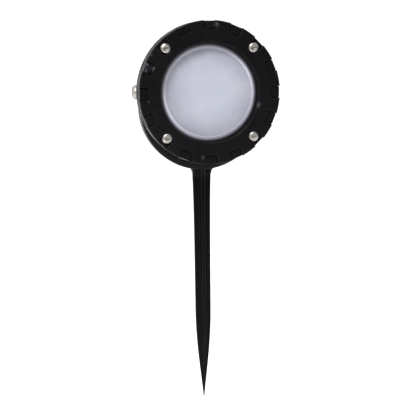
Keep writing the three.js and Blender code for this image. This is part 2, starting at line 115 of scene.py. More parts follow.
SPIKE_WIDTH = 10.5
POINT_SHARE = 0.4
TIP_SHARE = 0.07
RIB_DEPTH = 10.7
RIB_ROOT = 3.4
RIB_TIP = 2

GLAND_HOLE = 6.3
GLAND_BOSS = 10
GLAND_ACROSS = 17


# ---------------------------------------------------------------- mesh helpers
def arc(end, steps):
    """Angles from 0 to an end, both included."""
    return [end * k / steps for k in range(steps + 1)]


def bend_to(start, corner, end, steps):
    """Points of a curve that leaves start towards a corner and arrives at end from it."""
    return [start * (1 - t) ** 2 + corner * (2 * t * (1 - t)) + end * t ** 2
            for t in (k / steps for k in range(steps + 1))]


def rounded(corners, steps=4):
    """A closed outline of (x, y, radius) corners, each corner rounded to its radius."""
    points = []
    for i, (x, y, radius) in enumerate(corners):
        here = Vector((x, y))
        if radius <= 0:
            points.append(here)
            continue
        before = Vector(corners[i - 1][:2]) - here
        after = Vector(corners[(i + 1) % len(corners)][:2]) - here
        reach = radius / math.tan(before.angle(after) / 2)
        reach = min(reach, 0.49 * before.length, 0.49 * after.length)
        start = here + before.normalized() * reach
        end = here + after.normalized() * reach
        points += bend_to(start, here, end, steps)
    return points


def add_lathe(bm, profile, segments, about="y", centre=(0, 0, 0), closed=True):
    """Turns a profile of (radius, along) about an axis. A radius may be a function of the angle, and a
    point on the axis becomes one vertex."""
    centre = Vector(centre)
    turns = arc(2 * math.pi, segments)[:-1]
    rings = []
    for radius, along in profile:
        if not callable(radius) and abs(radius) < ON_AXIS:
            rings.append([bm.verts.new(centre + axis_point(0, 0, along, about))])
            continue
        ring = []
        for turn in turns:
            r = radius(turn) if callable(radius) else radius
            across = (r * math.cos(turn), r * math.sin(turn))
            ring.append(bm.verts.new(centre + axis_point(*across, along, about)))
        rings.append(ring)
    pairs = zip(rings, rings[1:] + rings[:1]) if closed else zip(rings, rings[1:])
    for a, b in pairs:
        join_rings(bm, a, b)
    return rings


def axis_point(u, v, along, about):
    """A point given across an axis and along it."""
    return {"x": Vector((along, u, v)), "y": Vector((u, along, v)), "z": Vector((u, v, along))}[about]


def join_rings(bm, a, b, closed=True):
    """Quads between two rings of vertices, or a fan where one of them is a single vertex."""
    count = max(len(a), len(b))
    if count == 1:
        return
    for k in range(count if closed else count - 1):
        corners = [a[k % len(a)], a[(k + 1) % len(a)], b[(k + 1) % len(b)], b[k % len(b)]]
        unique = list(dict.fromkeys(corners))
        if len(unique) > 2:
            bm.faces.new(unique)


def lathe(profile, segments=96, about="y", centre=(0, 0, 0)):
    bm = bmesh.new()
    add_lathe(bm, profile, segments, about, centre)
    return bm


def inset(outline, distance):
    """An anticlockwise outline moved inwards point for point. The distance may differ by point."""
    count = len(outline)
    distances = distance if isinstance(distance, list) else [distance] * count
    moved = []
    for i, point in enumerate(outline):
        a = (point - outline[i - 1]).normalized()
        b = (outline[(i + 1) % count] - point).normalized()
        normal_a = Vector((-a.y, a.x))
        bisector = normal_a + Vector((-b.y, b.x))
        if bisector.length < ON_AXIS:
            bisector = normal_a
        bisector.normalize()
        moved.append(point + bisector * (distances[i] / max(0.4, bisector.dot(normal_a))))
    return moved


def quarter(steps):
    """(inset share, depth share) of a quarter round, from the flat face to the side."""
    return [(1 - math.sin(t), 1 - math.cos(t)) for t in arc(math.pi / 2, steps)]


def loft(rings):
    """A closed skin over rings of points. Returns it with its end rings left open, and its vertices."""
    bm = bmesh.new()
    rows = [[bm.verts.new(point) for point in ring] for ring in rings]
    for a, b in zip(rows, rows[1:]):
        join_rings(bm, a, b)
    return bm, rows


def solid_loft(rings):
    """A solid over rings of points, with its two ends filled."""
    bm, rows = loft(rings)
    bm.faces.new(rows[0])
    bm.faces.new(rows[-1])
    return bm


def levels(low, high, edge, steps=3):
    """(inset, height) of each ring of a slab from low to high, its edges rounded at both ends."""
    rise = [(edge * i, low + edge * d) for i, d in quarter(steps)]
    return rise + [(edge * i, high - edge * d) for i, d in reversed(quarter(steps))]


def prism(outline, low, high, edge):
    """A solid with a given outline across the Y axis, and its long edges rounded at both ends."""
    return solid_loft([[(p.x, along, p.y) for p in inset(outline, shrink)]
                       for shrink, along in levels(low, high, edge)])


def hexagon(across, corner=0.4):
    reach = across / math.sqrt(3)
    turns = [math.radians(60 * k) for k in range(6)]
    return rounded([(reach * math.cos(t), reach * math.sin(t), corner) for t in turns])


def rectangle(x, y, corner=0.4):
    return rounded([(x[0], y[0], corner), (x[1], y[0], corner), (x[1], y[1], corner), (x[0], y[1], corner)])


def new_mesh(name, bm):
    """A mesh from a bmesh, which is used up."""
    bmesh.ops.recalc_face_normals(bm, faces=bm.faces)
    mesh = bpy.data.meshes.new(name)
    bm.to_mesh(mesh)
    bm.free()
    return mesh


def new_object(name, data):
    obj = bpy.data.objects.new(name, data)
    bpy.context.scene.collection.objects.link(obj)
    return obj


def mesh_object(name, bm):
    """An object in metres in the frame, from a bmesh in millimetres in the head's coordinates."""
    mesh = new_mesh(name, bm)
    mesh.transform(Matrix.Diagonal((MM, MM, MM, 1)) @ Matrix.Translation((0, 0, PIVOT_Z)))
    return new_object(name, mesh)


def boolean(obj, others, operation):
    """Joins or cuts the object with others, which are used up."""
    for other in others:
        modifier = obj.modifiers.new("boolean", "BOOLEAN")
        modifier.operation = operation
        modifier.solver = "EXACT"
        modifier.object = other
    bpy.context.view_layer.update()
    evaluated = obj.evaluated_get(bpy.context.evaluated_depsgraph_get())
    mesh = bpy.data.meshes.new_from_object(evaluated)
    obj.modifiers.clear()
    old = obj.data
    obj.data = mesh
    mesh.name = obj.name
    bpy.data.meshes.remove(old)
    for other in others:
        spare = other.data
        bpy.data.objects.remove(other)
        bpy.data.meshes.remove(spare)
    return obj


def finish_piece(obj, node, material, body="head"):
    """Shades a piece, gives it its material, and lets it stand for its CAD node."""
    obj.data.materials.clear()
    obj.data.materials.append(materials[material])
    obj.data.shade_smooth()
    obj.data.set_sharp_from_angle(angle=SHARP_ANGLE)
    normals = obj.modifiers.new("normals", "WEIGHTED_NORMAL")
    normals.keep_sharp = True
    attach(obj, body)
    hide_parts(node)


def node_piece(node, bm, material):
    finish_piece(mesh_object(f"{node}_fine", bm), node, material)


# ---------------------------------------------------------------- material helpers
def put(node, **values):
    """Sets a node's inputs by their names."""
    for name, value in values.items():
        node.inputs[name.replace("_", " ")].default_value = value


class Surface:
    """A procedural material: a Principled shader and short calls that add nodes in front of it."""

    def __init__(self, name):
        self.material = bpy.data.materials.new(name)
        self.material.use_nodes = True
        self.tree = self.material.node_tree
        self.tree.nodes.clear()
        output = self.tree.nodes.new("ShaderNodeOutputMaterial")
        self.shader = self.tree.nodes.new("ShaderNodeBsdfPrincipled")
        self.tree.links.new(self.shader.outputs[0], output.inputs[0])
        self.place = self.tree.nodes.new("ShaderNodeTexCoord").outputs["Object"]

    def plug(self, value, socket):
        if isinstance(value, bpy.types.NodeSocket):
            self.tree.links.new(value, socket)
        else:
            socket.default_value = value

    def set(self, **values):
        for name, value in values.items():
            self.plug(value, self.shader.inputs[name.replace("_", " ")])
        return self

    def combine(self, kind, operation, a, b):
        node = self.tree.nodes.new(kind)
        node.operation = operation
        self.plug(a, node.inputs[0])
        self.plug(b, node.inputs[1])
        return node.outputs

    def math(self, operation, a, b):
        return self.combine("ShaderNodeMath", operation, a, b)[0]

    def times(self, a, b):
        return self.math("MULTIPLY", a, b)

    def vector(self, operation, a, b=(0, 0, 0)):
        outputs = self.combine("ShaderNodeVectorMath", operation, a, b)
        return outputs["Value" if operation in ("LENGTH", "DOT_PRODUCT", "DISTANCE") else "Vector"]

    def noise(self, size, detail=3.0, roughness=0.55, stretch=(1, 1, 1), at=None):
        """Noise whose features are about size millimetres."""
        node = self.tree.nodes.new("ShaderNodeTexNoise")
        where = self.place if at is None else at
        self.plug(self.vector("MULTIPLY", where, stretch), node.inputs["Vector"])
        put(node, Scale=1 / (size * MM), Detail=detail, Roughness=roughness)
        return node.outputs["Fac"]

    def from_axis(self):
        """The distance from the lamp's axis, in millimetres."""
        offset = self.vector("SUBTRACT", self.place, (0, 0, PIVOT_Z * MM))
        across = self.vector("MULTIPLY", offset, (1, 0, 1))
        return self.times(self.vector("LENGTH", across), 1 / MM)

    def remap(self, value, low, high, to_low=0.0, to_high=1.0, smooth=False):
        node = self.tree.nodes.new("ShaderNodeMapRange")
        node.interpolation_type = "SMOOTHSTEP" if smooth else "LINEAR"
        self.plug(value, node.inputs["Value"])
        put(node, From_Min=low, From_Max=high, To_Min=to_low, To_Max=to_high)
        return node.outputs["Result"]

    def ramp(self, value, stops):
        node = self.tree.nodes.new("ShaderNodeValToRGB")
        self.plug(value, node.inputs[0])
        elements = node.color_ramp.elements
        while len(elements) < len(stops):
            elements.new(0.5)
        for element, (position, colour) in zip(elements, stops):
            element.position = position
            element.color = (*colour, 1)
        return node.outputs[0]

    def blend(self, share, a, b):
        node = self.tree.nodes.new("ShaderNodeMix")
        node.data_type = "RGBA"
        self.plug(share, node.inputs[0])
        self.plug(a if isinstance(a, bpy.types.NodeSocket) else (*a, 1), node.inputs[6])
        self.plug(b if isinstance(b, bpy.types.NodeSocket) else (*b, 1), node.inputs[7])
        return node.outputs[2]

    def bump(self, height, depth, strength=1.0):
        """Relief of the given depth in millimetres."""
        node = self.tree.nodes.new("ShaderNodeBump")
        put(node, Strength=strength, Distance=depth * MM)
        self.plug(height, node.inputs["Height"])
        return node.outputs[0]

    def edges(self, width):
        """A mask that is 1 on edges sharper than the given width in millimetres, and 0 on flats."""
        bevel = self.tree.nodes.new("ShaderNodeBevel")
        bevel.samples = 4
        put(bevel, Radius=width * MM)
        geometry = self.tree.nodes.new("ShaderNodeNewGeometry")
        agreement = self.vector("DOT_PRODUCT", bevel.outputs[0], geometry.outputs["Normal"])
        return self.remap(agreement, 0.995, 0.9)


def black_plastic(name, base, lighter, roughness, specular, scuffs_and_glint=(), bore=0.0, below=1.0):
    """Moulded black plastic: fine grain, a cloudy surface, lighter edges that are partly edge wear and
    partly a painted edge highlight, and a few pale patches given by place, which are scuffing with a painted
    glint among them. Each patch is (place in metres, size in mm, strength). Inside the bore's radius it is
    duller, and "below" is how much of its shine it keeps under the soil line, where soil has rubbed it."""
    s = Surface(name)
    cloud = s.noise(18, 4)
    grain = s.noise(0.5, 4, 0.6)
    speckle = s.remap(s.noise(0.35, 2), 0.66, 0.8)
    colour = s.blend(s.remap(cloud, 0.3, 0.7), base, lighter)
    # Lighter edges: partly edge wear, partly a painted edge highlight.
    rubbed_and_highlit_edges = s.times(s.edges(0.45), s.remap(s.noise(1.6, 5, 0.7), 0.42, 0.72))
    rubbed_and_highlit_edges = s.times(rubbed_and_highlit_edges, 0.32)
    marks_and_glint = s.times(speckle, 0.06)
    broken = s.remap(s.noise(0.55, 4, 0.75, (1, 1, 0.5)), 0.49, 0.57)
    for place, size, strength in scuffs_and_glint:
        near = s.remap(s.vector("DISTANCE", s.place, place), size * MM, 0.35 * size * MM, smooth=True)
        marks_and_glint = s.math("MAXIMUM", marks_and_glint, s.times(s.times(near, broken), strength))
    wear_and_painted_light = s.math("MAXIMUM", rubbed_and_highlit_edges, marks_and_glint)
    # Lightens the colour by the mask: edge wear and scuffing, with a painted edge highlight and a painted
    # glint among them.
    colour = s.blend(wear_and_painted_light, colour, (0.16, 0.155, 0.175))
    cloudy = s.remap(cloud, 0.3, 0.7, roughness - 0.05, roughness + 0.06)
    s.set(Base_Color=colour, Roughness=s.math("ADD", cloudy, s.times(wear_and_painted_light, 0.2)))
    s.set(Normal=s.bump(grain, 0.02, 0.5), IOR=1.47)
    shine = s.remap(s.from_axis(), bore - 0.1, bore + 0.2, 0.25 * specular, specular)
    height = s.vector("DOT_PRODUCT", s.place, (0, 0, 1))
    s.set(Specular_IOR_Level=s.times(shine, s.remap(height, -0.004, 0.006, below, 1.0)))
    return s.material


def metal(name, tint, roughness):
    """Bright metal with fine marks and a slightly uneven polish."""
    s = Surface(name)
    cloud = s.noise(1.4, 4)
    fine = s.noise(0.25, 4, 0.7, (1, 1, 0.25))
    dark = tuple(0.72 * c for c in tint)
    s.set(Base_Color=s.blend(s.remap(cloud, 0.35, 0.7), dark, tint))
    s.set(Roughness=s.remap(fine, 0.3, 0.7, roughness - 0.08, roughness + 0.12))
    s.set(Normal=s.bump(fine, 0.012, 0.5), Metallic=1.0)
    return s.material


def plain_plastic(name, base, roughness, grain=0.5, variation=0.85, depth=0.015):
    """A coloured moulded or coated surface with a fine grain."""
    s = Surface(name)
    cloud = s.noise(6, 3)
    fine = s.noise(grain, 3)
    s.set(Base_Color=s.blend(s.remap(cloud, 0.3, 0.7), tuple(variation * c for c in base), base))
    s.set(Roughness=s.remap(fine, 0.3, 0.7, roughness - 0.06, roughness + 0.06))
    s.set(Normal=s.bump(fine, depth, 0.5))
    return s.material


def rubber(name):
    s = Surface(name)
    dust = s.remap(s.noise(1.2, 5, 0.7), 0.5, 0.8)
    s.set(Base_Color=s.blend(dust, (0.010, 0.010, 0.010), (0.028, 0.027, 0.026)))
    s.set(Roughness=s.remap(dust, 0, 1, 0.72, 0.88), Normal=s.bump(s.noise(0.3, 3), 0.02, 0.6))
    return s.material


def frosted_lens(name):
    """A frosted diffuser painted with its light: a painted glow that is bright over the reflector and greyer
    towards its rim, a painted highlight and glow on the step's edge, painted shade over its border where the
    bore hides it, and the emitter's painted shadow in the middle."""
    s = Surface(name)
    across = s.from_axis()
    drift = s.times(s.math("SUBTRACT", s.noise(22, 2), 0.5), 4.0)
    uneven = s.math("ADD", across, drift)
    # Painted light: bright over the reflector and greyer towards the rim, made uneven by the drift.
    glow = s.ramp(s.remap(uneven, 0, LENS_RADIUS), [
        (0.0, (0.410, 0.424, 0.500)), (0.30, (0.418, 0.431, 0.505)), (0.55, (0.370, 0.381, 0.445)),
        (0.74, (0.328, 0.340, 0.398)), (0.83, (0.312, 0.324, 0.378)),
    ])
    warm = s.remap(s.noise(16, 2, at=s.vector("ADD", s.place, (0.3, 0.1, 0.2))), 0.45, 0.7)
    glow = s.blend(s.times(warm, 0.35), glow, (0.56, 0.545, 0.60))
    # Painted shadow of the emitter in the middle of the lens.
    painted_emitter_shadow = s.remap(across, 3.4, 0.6, 0, 0.16, smooth=True)
    glow = s.blend(painted_emitter_shadow, glow, (0.36, 0.38, 0.45))
    # Painted highlight on the step's edge.
    painted_lip_glow = s.times(s.remap(across, LENS_STEP_RADIUS - 0.5, LENS_STEP_RADIUS - 0.1),
                  s.remap(across, LENS_STEP_RADIUS + 1.0, LENS_STEP_RADIUS + 0.6))
    glow = s.blend(painted_lip_glow, glow, (0.60, 0.59, 0.68))
    # Painted glow: the step's edge emits light, though the lens is no lamp.
    s.set(Emission_Color=(0.80, 0.79, 0.90, 1), Emission_Strength=s.times(painted_lip_glow, 0.20))
    # Painted shade over the border, darkening to black at the window's edge.
    border = s.remap(across, LENS_STEP_RADIUS + 0.6, WINDOW_RADIUS - 0.1)
    glow = s.blend(s.remap(border, 0.0, 0.12), glow, s.ramp(border, [
        (0.0, (0.46, 0.455, 0.53)), (0.35, (0.24, 0.235, 0.28)), (0.7, (0.07, 0.068, 0.085)),
        (1.0, (0.012, 0.012, 0.014)),
    ]))
    fine = s.noise(0.25, 3)
    s.set(Base_Color=glow, Roughness=s.remap(fine, 0.3, 0.7, 0.36, 0.46), Normal=s.bump(fine, 0.006, 0.4))
    s.set(IOR=1.49, Subsurface_Weight=0.15, Subsurface_Scale=0.002)
    return s.material


def fibreglass(name, base, roughness):
    """A coated circuit board, with a faint weave under the mask."""
    s = Surface(name)
    weave = s.noise(0.6, 2, 0.5, (1, 1, 4))
    s.set(Base_Color=s.blend(s.remap(weave, 0.35, 0.65), tuple(0.8 * c for c in base), base))
    s.set(Roughness=s.remap(weave, 0.3, 0.7, roughness - 0.05, roughness + 0.08))
    s.set(Normal=s.bump(weave, 0.01, 0.4))
    return s.material


def on_rim(degrees, radius, y):
    """A place round the lamp's axis as a point of the frame, in metres."""
    angle = math.radians(degrees)
    return (radius * math.cos(angle) * MM, y * MM, (radius * math.sin(angle) + PIVOT_Z) * MM)


# Pale scuffing on the ring, each entry (place, size in mm, strength), and one painted glint.
RING_SCUFFS_AND_GLINT = [
    (on_rim(156, 37.3, FACE_Y + 0.4), 2.1, 0.9),
    (on_rim(160, 36.8, FACE_Y + 0.4), 1.8, 0.8),
    (on_rim(157, 33.0, FACE_Y + 0.6), 1.7, 1.0),
    (on_rim(147, 37.3, FACE_Y), 1.1, 0.8),
    (on_rim(137, 37.6, FACE_Y), 1.0, 0.8),
    (on_rim(84, 35.6, FACE_Y + 1), 2.0, 0.9),
    (on_rim(262, 34.2, FACE_Y), 1.4, 0.6),
    (on_rim(187, 33.3, FACE_Y), 0.8, 0.6),
    # Painted glint on the bore wall at the right of the mouth.
    (on_rim(-14, 26.5, FACE_Y + 0.6), 2.2, 0.8),
]

materials = {
    "black_plastic": black_plastic(
        "ring_plastic", (0.0030, 0.0030, 0.0036), (0.0043, 0.0043, 0.0050), 0.42, 0.11,
        RING_SCUFFS_AND_GLINT, MOUTH_RADIUS),
    "housing_plastic": black_plastic(
        "housing_plastic", (0.0030, 0.0030, 0.0035), (0.0046, 0.0046, 0.0052), 0.44, 0.14),
    "fork_plastic": black_plastic(
        "fork_plastic", (0.0018, 0.0018, 0.0020), (0.0030, 0.0030, 0.0033), 0.40, 0.30, below=0.22),
    "frosted_lens": frosted_lens("frosted_lens"),
    "stainless": metal("stainless", (0.50, 0.475, 0.45), 0.42),
    "brass": metal("brass", (0.62, 0.43, 0.18), 0.32),
    "aluminium": metal("aluminium", (0.58, 0.59, 0.60), 0.42),
    "rubber": rubber("rubber"),
    "nylon": plain_plastic("nylon", (0.62, 0.60, 0.54), 0.5),
    "white_plastic": plain_plastic("white_plastic", (0.80, 0.80, 0.78), 0.42),
    "emitter": plain_plastic("emitter_phosphor", (0.72, 0.52, 0.06), 0.3, variation=0.7),
    "board_white": fibreglass("board_white", (0.76, 0.78, 0.75), 0.4),
    "board_green": fibreglass("board_green", (0.012, 0.10, 0.035), 0.35),
    "capacitor": plain_plastic("capacitor_sleeve", (0.02, 0.02, 0.035), 0.35, variation=0.6),
    "ferrite": plain_plastic("ferrite", (0.045, 0.045, 0.048), 0.7, grain=0.3, depth=0.05),
    "chip": plain_plastic("chip_epoxy", (0.010, 0.010, 0.011), 0.6, grain=0.2, depth=0.03),
    "red_wire": plain_plastic("red_insulation", (0.42, 0.02, 0.015), 0.35),
    "black_wire": plain_plastic("black_insulation", (0.012, 0.012, 0.012), 0.35),
}

# ---------------------------------------------------------------- front ring
SCREW_NOTCHES = (2, 6, 10, 14)
FACE_EDGE = 0.8
NOTCH_EDGE = 0.25
FLAT_EDGE = 0.3
BACK_EDGE = 0.3
EDGE_STEPS = 3
LAND_STEPS = 8
FLAT_STEPS = 5
ROOT_STEPS = 16
ROOT_CORNER = 0.5
NOTCH_RIM = math.sqrt(HEAD_RADIUS ** 2 - NOTCH_HALF ** 2)


def notch_wall(index):
    """A notch's wall in plan, in (outward, sideways) millimetres, from one side to the other."""
    if index in SCREW_NOTCHES:
        root = [Vector((SCREW_CIRCLE - NOTCH_HALF * math.sin(t), -NOTCH_HALF * math.cos(t)))
                for t in arc(math.pi, ROOT_STEPS)]
    else:
        root = rounded([
            (NOTCH_FLAT, NOTCH_HALF, 0), (NOTCH_FLAT, -NOTCH_HALF, 0),
            (NOTCH_ROOT, -NOTCH_HALF, ROOT_CORNER), (NOTCH_ROOT, NOTCH_HALF, ROOT_CORNER),
        ])[2:]
    side = [Vector((r, -NOTCH_HALF)) for r in (NOTCH_RIM, NOTCH_FLAT, NOTCH_FLAT - FLAT_EDGE)]
    return side + root + [Vector((p.x, -p.y)) for p in reversed(side)]


def about_lamp(point, index):
    """A plan point in (outward, sideways) millimetres, turned to the place of one notch."""
    angle = 2 * math.pi * index / NOTCH_COUNT
    return Vector((point.x * math.cos(angle) - point.y * math.sin(angle),
                   point.x * math.sin(angle) + point.y * math.cos(angle)))


def fill_between(bm, *loops):
    """Fills a flat region bounded by closed rings of vertices."""
    edges = [bm.edges.get((a, b)) or bm.edges.new((a, b))
             for loop in loops for a, b in zip(loop, loop[1:] + loop[:1])]
    bmesh.ops.triangle_fill(bm, use_beauty=True, use_dissolve=False, edges=edges)


def notch_floor(bm, index, wall, depth):
    """The floor of a notch inside its wall's lowest vertices, and the rounded top of the flat outside
    it. Returns the flat's upper row and, under a screw, the hole's far end."""
    def vertex(outward, sideways, down):
        p = about_lamp(Vector((outward, sideways)), index)
        return bm.verts.new((p.x, FACE_Y + down, p.y))

    across = [NOTCH_HALF * (2 * k / FLAT_STEPS - 1) for k in range(1, FLAT_STEPS)]
    first = [wall[2]] + [vertex(NOTCH_FLAT - FLAT_EDGE, s, depth) for s in across] + [wall[-3]]
    rows = [first]
    for share, down in quarter(EDGE_STEPS)[1:]:
        places = [-NOTCH_HALF] + across + [NOTCH_HALF]
        rows.append([vertex(NOTCH_FLAT - FLAT_EDGE * share, s, depth + FLAT_EDGE * down) for s in places])
    for a, b in zip(rows, rows[1:]):
        join_rings(bm, a, b, closed=False)
    for side, end, rim in ((wall[1], 0, wall[0]), (wall[-2], -1, wall[-1])):
        bm.faces.new([side] + [row[end] for row in rows])
        bm.faces.new([rim, side, rows[-1][end]])
    border = wall[2:-2] + first[-2:0:-1]
    if index not in SCREW_NOTCHES:
        bm.faces.new(border)
        return rows[-1], None
    middle = about_lamp(Vector((SCREW_CIRCLE, 0)), index)
    hole = []
    for v in border:
        p = middle + (Vector((v.co.x, v.co.z)) - middle).normalized() * SCREW_HOLE
        hole.append(bm.verts.new((p.x, v.co.y, p.y)))
    far = [bm.verts.new((v.co.x, BEZEL_BACK_Y, v.co.z)) for v in hole]
    join_rings(bm, border, hole)
    join_rings(bm, hole, far)
    return rows[-1], far


def front_ring():
    bm = bmesh.new()
    outline, rounding, drop, starts = [], [], [], []
    for i in range(NOTCH_COUNT):
        wall = notch_wall(i)
        floor = SCREW_NOTCH_DEPTH if i in SCREW_NOTCHES else NOTCH_DEPTH
        starts.append((len(outline), len(wall), floor))
        outline += [about_lamp(p, i) for p in wall]
        start = math.atan2(NOTCH_HALF, wall[-1].x)
        sweep = 2 * math.pi / NOTCH_COUNT - 2 * start
        turns = [start + sweep * k / LAND_STEPS for k in range(1, LAND_STEPS)]
        outline += [about_lamp(Vector((math.cos(t), math.sin(t))) * HEAD_RADIUS, i) for t in turns]
        rounding += [NOTCH_EDGE] * len(wall) + [FACE_EDGE] * len(turns)
        drop += [floor] * len(wall) + [NOTCH_DEPTH] * len(turns)

    def row(points, depths):
        return [bm.verts.new((p.x, FACE_Y + d, p.y)) for p, d in zip(points, depths)]

    def drawn_in(share):
        """The outline drawn in by a share of its rounding, its flats' corners kept in order."""
        points = inset(outline, [r * share for r in rounding])
        place = (NOTCH_RIM - NOTCH_FLAT) / (NOTCH_RIM - NOTCH_FLAT + FLAT_EDGE)
        for start, count, _ in starts:
            end = start + count - 1
            for corner, flat, edge in ((start, start + 1, start + 2), (end, end - 1, end - 2)):
                points[flat] = points[corner].lerp(points[edge], place)
        return points

    rows = [row(drawn_in(share), [r * down for r in rounding]) for share, down in quarter(EDGE_STEPS)]
    rows.append(row(outline, drop))
    for a, b in zip(rows, rows[1:]):
        join_rings(bm, a, b)

    rim, holes = [], []
    for i, (start, count, floor) in enumerate(starts):
        wall = rows[-1][start:start + count]
        flat, hole = notch_floor(bm, i, wall, floor)
        after = starts[i + 1][0] if i + 1 < NOTCH_COUNT else len(outline)
        rim += [wall[0]] + flat + rows[-1][start + count - 1:after]
        holes += [hole] if hole else []
    plan = [Vector((v.co.x, v.co.z)) for v in rim]
    depth = BEZEL_BACK_Y - FACE_Y
    for share, down in reversed(quarter(EDGE_STEPS)):
        below = row(inset(plan, BACK_EDGE * share), [depth - BACK_EDGE * down] * len(plan))
        join_rings(bm, rim, below)
        rim = below

    bore = rounded([
        (HEAD_RADIUS, FACE_Y, 0), (MOUTH_RADIUS, FACE_Y, 0.6), (WINDOW_RADIUS, LIP_Y, 0.3),
        (LENS_SEAT, LIP_Y, 0.2), (LENS_SEAT, BEZEL_BACK_Y, 0.3), (HEAD_RADIUS, BEZEL_BACK_Y, 0),
    ])[1:-1]
    inner = add_lathe(bm, bore, 144, closed=False)
    fill_between(bm, rows[0], inner[0])
    fill_between(bm, rim, inner[-1], *holes)
    ring = mesh_object("bezel_ring_fine", bm)
    blocks = [notch_block(i) for i in range(NOTCH_COUNT) if i not in SCREW_NOTCHES]
    boolean(ring, [joined("blocks", blocks)], "UNION")
    finish_piece(ring, "bezel_ring", "black_plastic")


def notch_block(index):
    """The block that stands in a plain notch, almost level with the face."""
    half = NOTCH_HALF - GROOVE_WIDTH
    plan = rectangle((NOTCH_ROOT + GROOVE_WIDTH, NOTCH_FLAT - 0.1), (-half, half), 0.3)
    top, foot = FACE_Y + BLOCK_DROP, FACE_Y + NOTCH_DEPTH + 0.6
    return prism([about_lamp(p, index) for p in plan], top, foot, 0.18)


# ---------------------------------------------------------------- lens and its seal
def lens():
    front = LENS_FRONT_Y
    border = front + LENS_STEP
    bm = lathe(rounded([
        (0, front, 0), (LENS_STEP_RADIUS, front, 0.4), (LENS_STEP_RADIUS + LENS_STEP, border, 0.3),
        (LENS_RADIUS, border, 0.3), (LENS_RADIUS, LENS_BACK_Y, 0.3), (0, LENS_BACK_Y, 0),
    ]), 160)
    node_piece("lens", bm, "frosted_lens")


def flat_ring(node, bore, corner, material, about="y", segments=64):
    """A washer or seal with a given bore. Its CAD node gives the rest."""
    outer = span(node, "z" if about == "x" else "x")[1]
    outline = rectangle((bore, outer), span(node, about), corner)
    node_piece(node, lathe(outline, segments, about), material)


def lens_gasket():
    flat_ring("lens_gasket", CUP_RADIUS - CUP_WALL + GAP, 0.35, "rubber", segments=128)


# ---------------------------------------------------------------- housing
def joined(name, shapes):
    """One object from several solids that don't touch each other."""
    bm = bmesh.new()
    for shape in shapes:
        mesh = new_mesh("part", shape)
        bm.from_mesh(mesh)
        bpy.data.meshes.remove(mesh)
    return mesh_object(name, bm)


def rod(radius, low, high, about="y", centre=(0, 0, 0), corner=0.0, segments=48):
    return lathe(rounded([(0, low, 0), (radius, low, corner), (radius, high, corner), (0, high, 0)]),
                 segments, about, centre)


def screw_place(index):
    angle = 2 * math.pi * index / NOTCH_COUNT
    return (SCREW_CIRCLE * math.cos(angle), 0, SCREW_CIRCLE * math.sin(angle))


def pivot_boss(side):
    """The outer boss on the cup's side, with a flared foot."""
    inner = side * (CUP_RADIUS - CUP_WALL + 0.6)
    foot = side * (CUP_RADIUS - 0.8)
    face = side * PIVOT_BOSS_X
    return lathe(rounded([
        (0, inner, 0), (PIVOT_BOSS_RADIUS + 1.2, inner, 0), (PIVOT_BOSS_RADIUS + 1.2, foot - side * 1.0, 0),
        (PIVOT_BOSS_RADIUS, foot, 1.0), (PIVOT_BOSS_RADIUS, face, 0.35), (0, face, 0),
    ]), 64, "x")


def housing():
    flange_back = FLANGE_FRONT_Y + FLANGE_DEPTH
    cup_inner = CUP_RADIUS - CUP_WALL
    gasket_seat = GASKET_BACK_Y + GAP
    body = mesh_object("housing_fine", lathe(rounded([
        (0, FLOOR_Y, 0), (LEDGE_RADIUS, FLOOR_Y, 1.5), (LEDGE_RADIUS, LEDGE_Y, 0.3),
        (cup_inner, LEDGE_Y, 0.3), (cup_inner, gasket_seat, 0.3), (LENS_SEAT, gasket_seat, 0.2),
        (LENS_SEAT, FLANGE_FRONT_Y, 0.3),
        (HEAD_RADIUS, FLANGE_FRONT_Y, 0.35), (HEAD_RADIUS, flange_back, 0.8),
        (CUP_RADIUS, flange_back, 2.2), (CUP_RADIUS - 0.6, CUP_BACK_Y, 4.2),
        (GLAND_BOSS + 0.3, CUP_BACK_Y, 0.8), (GLAND_BOSS, GLAND_BOSS_Y, 0.5), (0, GLAND_BOSS_Y, 0),
    ], 6), 160))
    screw_boss_back = -13
    insert_back = -15
    posts = [(0, 0, side * POST_Z) for side in SIDES]
    feet = [(side * DRIVER_SCREW_X, 0, 0) for side in SIDES]
    lugs = [rod(4.2, flange_back - 1, screw_boss_back, centre=screw_place(i), corner=0.6, segments=44)
            for i in SCREW_NOTCHES]
    lugs += [pivot_boss(side) for side in SIDES]
    lugs += [rod(5, side * PIVOT_INNER_X, side * (LEDGE_RADIUS + 1), "x") for side in SIDES]
    lugs += [rod(3.5, LEDGE_Y, FLOOR_Y + 1, centre=post) for post in posts]
    lugs += [rod(2.6, DRIVER_BACK_Y + GAP, FLOOR_Y + 1, centre=foot) for foot in feet]
    holes = [rod(2.8, FLANGE_FRONT_Y - 1, insert_back + GAP, centre=screw_place(i)) for i in SCREW_NOTCHES]
    holes += [rod(3.3, side * (PIVOT_INNER_X + 3.5), side * (PIVOT_BOSS_X + 1), "x") for side in SIDES]
    holes += [rod(1.8, LEDGE_Y - 1, LEDGE_Y + 8, centre=post) for post in posts]
    holes += [rod(1.4, DRIVER_BACK_Y - 1, FLOOR_Y, centre=foot) for foot in feet]
    holes += [rod(GLAND_HOLE, FLOOR_Y - 1, GLAND_BOSS_Y + 1)]
    boolean(body, [joined("lugs", lugs)], "UNION")
    boolean(body, [joined("holes", holes)], "DIFFERENCE")
    finish_piece(body, "housing", "housing_plastic")


# ---------------------------------------------------------------- screws, washers and inserts
def socket_radius(across):
    """The radius of a hexagon at an angle, given across its flats."""
    def radius(turn):
        from_flat = (turn % (math.pi / 3)) - math.pi / 6
        return across / 2 / math.cos(from_flat)
    return radius


